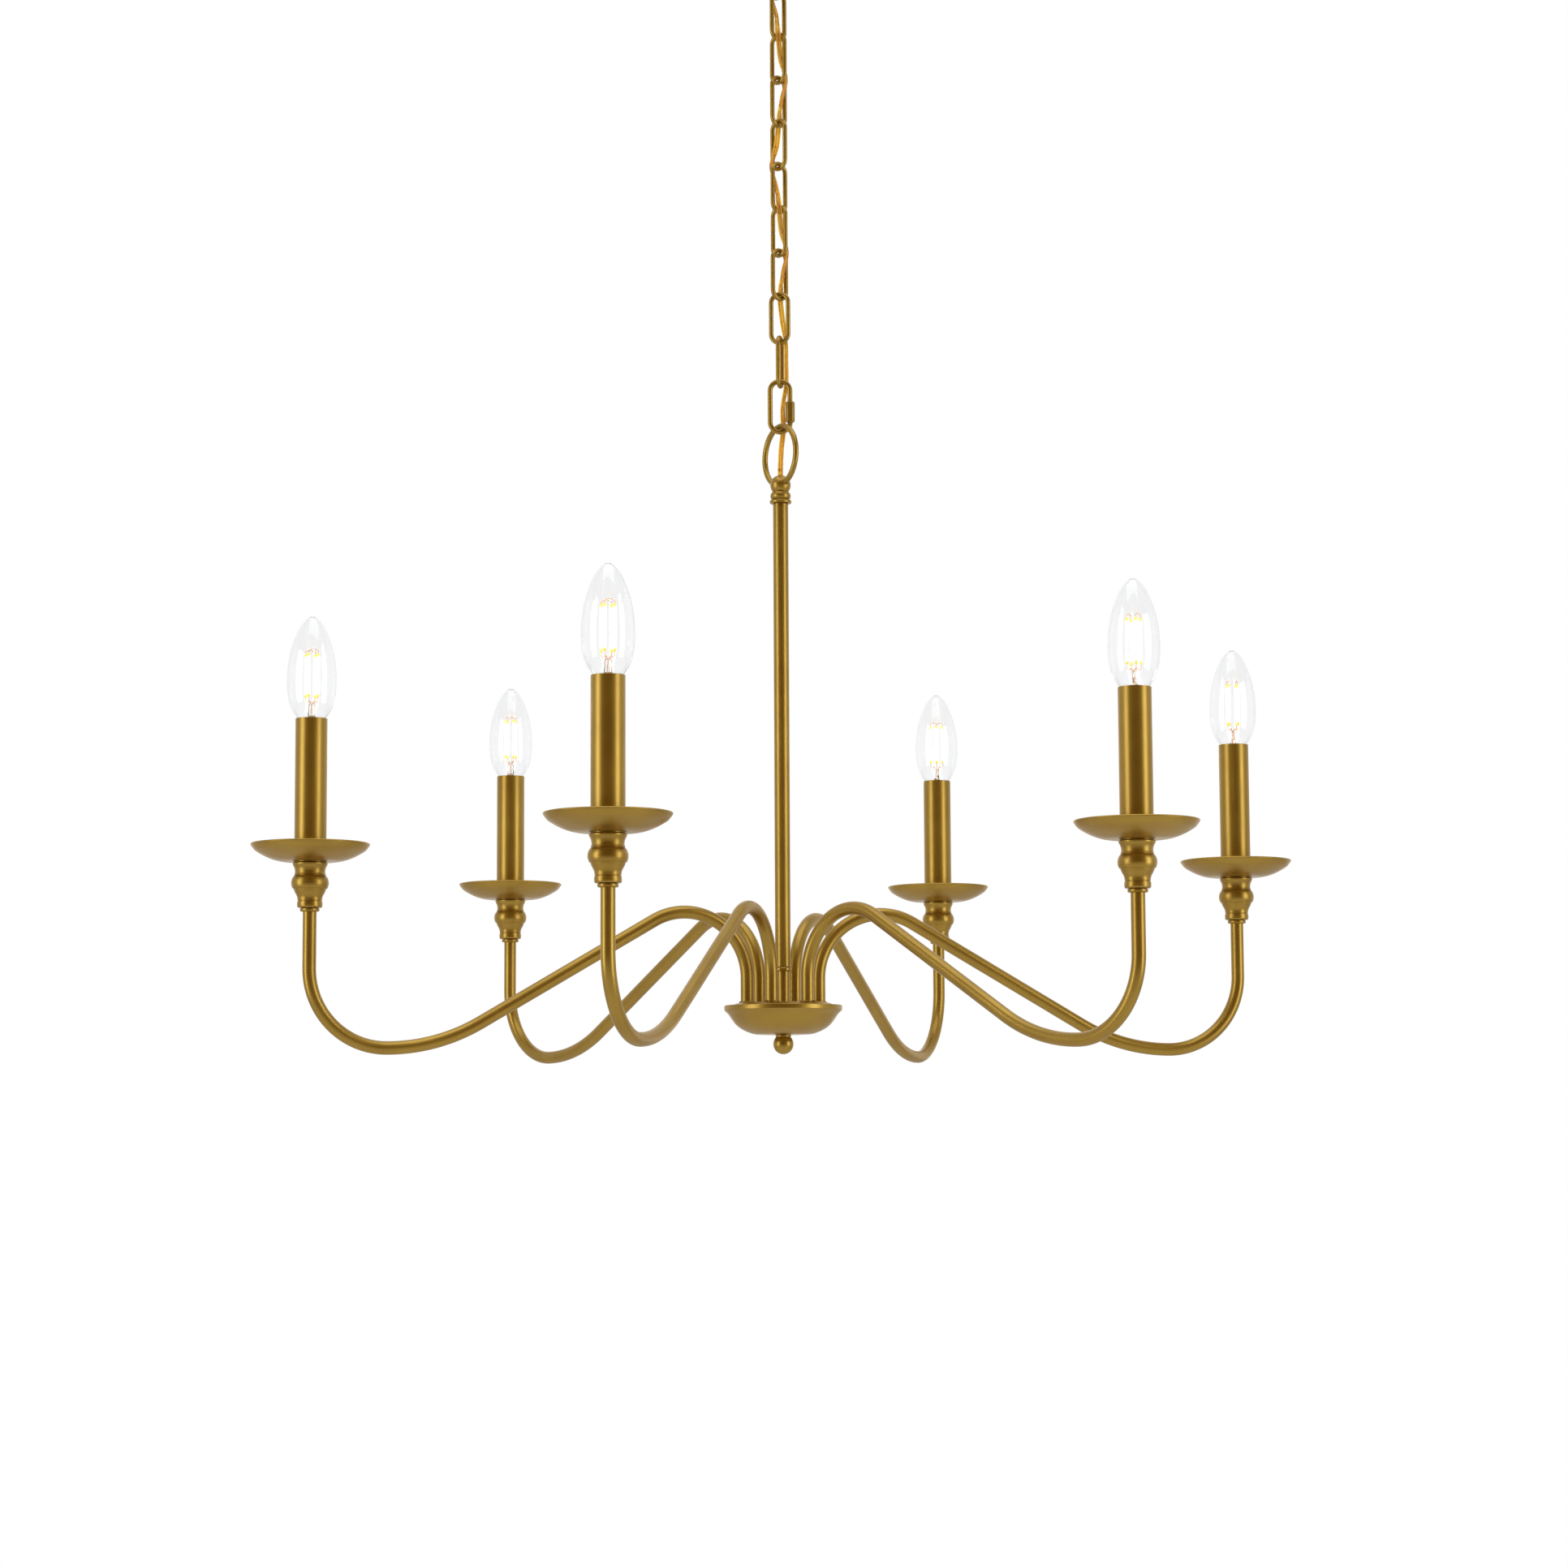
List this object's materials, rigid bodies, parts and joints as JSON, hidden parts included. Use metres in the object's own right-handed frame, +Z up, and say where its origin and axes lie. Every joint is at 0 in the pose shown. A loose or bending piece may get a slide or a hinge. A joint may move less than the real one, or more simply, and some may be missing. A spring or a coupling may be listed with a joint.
{
  "type": "multi arm chandelier",
  "caption": "Candle-style multi arm chandelier in satin antique gold: S-curved arms on a dished hub with stem, hung by loop, quick link, chain and canopy from the ceiling.",
  "frame": {"origin": "centre of the mounting strap's face against the ceiling, on the axis of the chain and stem", "axes": "+Z up, the stem's axis along Z; the front of the chandelier is -Y"},
  "size_m": [0.7345, 0.7199, 0.8277],
  "materials": {
    "antique_gold": "satin antique gold paint, slightly warm, soft highlights",
    "zinc_steel": "zinc plated steel",
    "lamp_holder": "moulded candelabra lamp holder",
    "clear_glass": "clear thin glass",
    "amber_cord": "clear amber vinyl over copper strands",
    "bare_wire": "bare copper and lead wires",
    "lamp_base": "nickel plated screw base",
    "led_filament": "yellow phosphor over lit LED filament"
  },
  "bodies": {
    "ceiling_mount": {"mounting_strap": "zinc_steel", "canopy_loop": "antique_gold", "supply_cord": "amber_cord"},
    "canopy": {"canopy": "antique_gold", "canopy_collar_nut": "antique_gold"},
    "link_1": {"chain_link_1": "antique_gold"},
    "link_2": {"chain_link_2": "antique_gold"},
    "link_3": {"chain_link_3": "antique_gold"},
    "link_4": {"chain_link_4": "antique_gold"},
    "link_5": {"chain_link_5": "antique_gold"},
    "link_6": {"chain_link_6": "antique_gold"},
    "link_7": {"chain_link_7": "antique_gold"},
    "link_8": {"chain_link_8": "antique_gold"},
    "link_9": {"chain_link_9": "antique_gold"},
    "quick_link": {"quick_link": "antique_gold"},
    "quick_link_nut": {"quick_link_nut": "antique_gold"},
    "chandelier": {"hanging_loop": "antique_gold", "stem_collar": "antique_gold", "stem": "antique_gold", "lower_stem": "antique_gold", "hub_plate": "antique_gold", "hub_bowl": "antique_gold", "centre_nipple": "zinc_steel", "finial": "antique_gold"},
    "arm_1": {"arm_1": "antique_gold", "cup_1": "antique_gold", "drip_pan_1": "antique_gold", "candle_sleeve_1": "antique_gold", "lamp_holder_1": "lamp_holder"},
    "arm_2": {"arm_2": "antique_gold", "cup_2": "antique_gold", "drip_pan_2": "antique_gold", "candle_sleeve_2": "antique_gold", "lamp_holder_2": "lamp_holder"},
    "arm_3": {"arm_3": "antique_gold", "cup_3": "antique_gold", "drip_pan_3": "antique_gold", "candle_sleeve_3": "antique_gold", "lamp_holder_3": "lamp_holder"},
    "arm_4": {"arm_4": "antique_gold", "cup_4": "antique_gold", "drip_pan_4": "antique_gold", "candle_sleeve_4": "antique_gold", "lamp_holder_4": "lamp_holder"},
    "arm_5": {"arm_5": "antique_gold", "cup_5": "antique_gold", "drip_pan_5": "antique_gold", "candle_sleeve_5": "antique_gold", "lamp_holder_5": "lamp_holder"},
    "arm_6": {"arm_6": "antique_gold", "cup_6": "antique_gold", "drip_pan_6": "antique_gold", "candle_sleeve_6": "antique_gold", "lamp_holder_6": "lamp_holder"},
    "bulb_1": {"bulb_1": "clear_glass"},
    "bulb_2": {"bulb_2": "clear_glass"},
    "bulb_3": {"bulb_3": "clear_glass"},
    "bulb_4": {"bulb_4": "clear_glass"},
    "bulb_5": {"bulb_5": "clear_glass"},
    "bulb_6": {"bulb_6": "clear_glass"}
  },
  "joints": [
    {"name": "canopy_drop", "type": "slide", "parent": "ceiling_mount", "child": "canopy", "axis": [0, 0, -1], "range_m": [0, 0.04]},
    {"name": "link_1_swing", "type": "hinge", "parent": "ceiling_mount", "child": "link_1", "pos_m": [0, 0, -0.054], "axis": [0.7071, -0.7071, 0], "range_deg": [-8, 8], "deforming": ["supply_cord"]},
    {"name": "link_2_swing", "type": "hinge", "parent": "link_1", "child": "link_2", "pos_m": [0, 0, -0.08595], "axis": [0.7071, 0.7071, 0], "range_deg": [-8, 8]},
    {"name": "link_3_swing", "type": "hinge", "parent": "link_2", "child": "link_3", "pos_m": [0, 0, -0.11825], "axis": [0.7071, -0.7071, 0], "range_deg": [-8, 8]},
    {"name": "link_4_swing", "type": "hinge", "parent": "link_3", "child": "link_4", "pos_m": [0, 0, -0.15055], "axis": [0.7071, 0.7071, 0], "range_deg": [-8, 8]},
    {"name": "link_5_swing", "type": "hinge", "parent": "link_4", "child": "link_5", "pos_m": [0, 0, -0.18285], "axis": [0.7071, -0.7071, 0], "range_deg": [-8, 8]},
    {"name": "link_6_swing", "type": "hinge", "parent": "link_5", "child": "link_6", "pos_m": [0, 0, -0.21515], "axis": [0.7071, 0.7071, 0], "range_deg": [-8, 8]},
    {"name": "link_7_swing", "type": "hinge", "parent": "link_6", "child": "link_7", "pos_m": [0, 0, -0.24745], "axis": [0.7071, -0.7071, 0], "range_deg": [-8, 8]},
    {"name": "link_8_swing", "type": "hinge", "parent": "link_7", "child": "link_8", "pos_m": [0, 0, -0.27975], "axis": [0.7431, 0.6691, 0], "range_deg": [-8, 8]},
    {"name": "link_9_swing", "type": "hinge", "parent": "link_8", "child": "link_9", "pos_m": [0, 0, -0.31205], "axis": [0.9659, -0.2588, 0], "range_deg": [-8, 8]},
    {"name": "quick_link_swing", "type": "hinge", "parent": "link_9", "child": "quick_link", "pos_m": [0, 0, -0.34435], "axis": [0.2079, 0.9781, 0], "range_deg": [-8, 8]},
    {"name": "quick_link_nut_travel", "type": "slide", "parent": "quick_link", "child": "quick_link_nut", "axis": [0, 0, 1], "range_m": [0, 0.007]},
    {"name": "hanging_loop_swing", "type": "hinge", "parent": "quick_link", "child": "chandelier", "pos_m": [0, 0, -0.378], "axis": [1, 0, 0], "range_deg": [-8, 8]},
    {"name": "arm_1_swivel", "type": "hinge", "parent": "chandelier", "child": "arm_1", "pos_m": [-0.00825, -0.02466, -0.7902], "axis": [0, 0, 1], "range_deg": [-20, 20]},
    {"name": "arm_2_swivel", "type": "hinge", "parent": "chandelier", "child": "arm_2", "pos_m": [0.01723, -0.01947, -0.7902], "axis": [0, 0, 1], "range_deg": [-20, 20]},
    {"name": "arm_3_swivel", "type": "hinge", "parent": "chandelier", "child": "arm_3", "pos_m": [0.02548, 0.00518, -0.7902], "axis": [0, 0, 1], "range_deg": [-20.5, 19.5]},
    {"name": "arm_4_swivel", "type": "hinge", "parent": "chandelier", "child": "arm_4", "pos_m": [0.00825, 0.02466, -0.7902], "axis": [0, 0, 1], "range_deg": [-16.5, 23.5]},
    {"name": "arm_5_swivel", "type": "hinge", "parent": "chandelier", "child": "arm_5", "pos_m": [-0.01723, 0.01947, -0.7902], "axis": [0, 0, 1], "range_deg": [-17.5, 22.5]},
    {"name": "arm_6_swivel", "type": "hinge", "parent": "chandelier", "child": "arm_6", "pos_m": [-0.02548, -0.00518, -0.7902], "axis": [0, 0, 1], "range_deg": [-28.5, 11.5]},
    {"name": "bulb_1_unscrew", "type": "slide", "parent": "arm_1", "child": "bulb_1", "axis": [0, 0, 1], "range_m": [0, 0.025]},
    {"name": "bulb_2_unscrew", "type": "slide", "parent": "arm_2", "child": "bulb_2", "axis": [0, 0, 1], "range_m": [0, 0.025]},
    {"name": "bulb_3_unscrew", "type": "slide", "parent": "arm_3", "child": "bulb_3", "axis": [0, 0, 1], "range_m": [0, 0.025]},
    {"name": "bulb_4_unscrew", "type": "slide", "parent": "arm_4", "child": "bulb_4", "axis": [0, 0, 1], "range_m": [0, 0.025]},
    {"name": "bulb_5_unscrew", "type": "slide", "parent": "arm_5", "child": "bulb_5", "axis": [0, 0, 1], "range_m": [0, 0.025]},
    {"name": "bulb_6_unscrew", "type": "slide", "parent": "arm_6", "child": "bulb_6", "axis": [0, 0, 1], "range_m": [0, 0.025]}
  ]
}
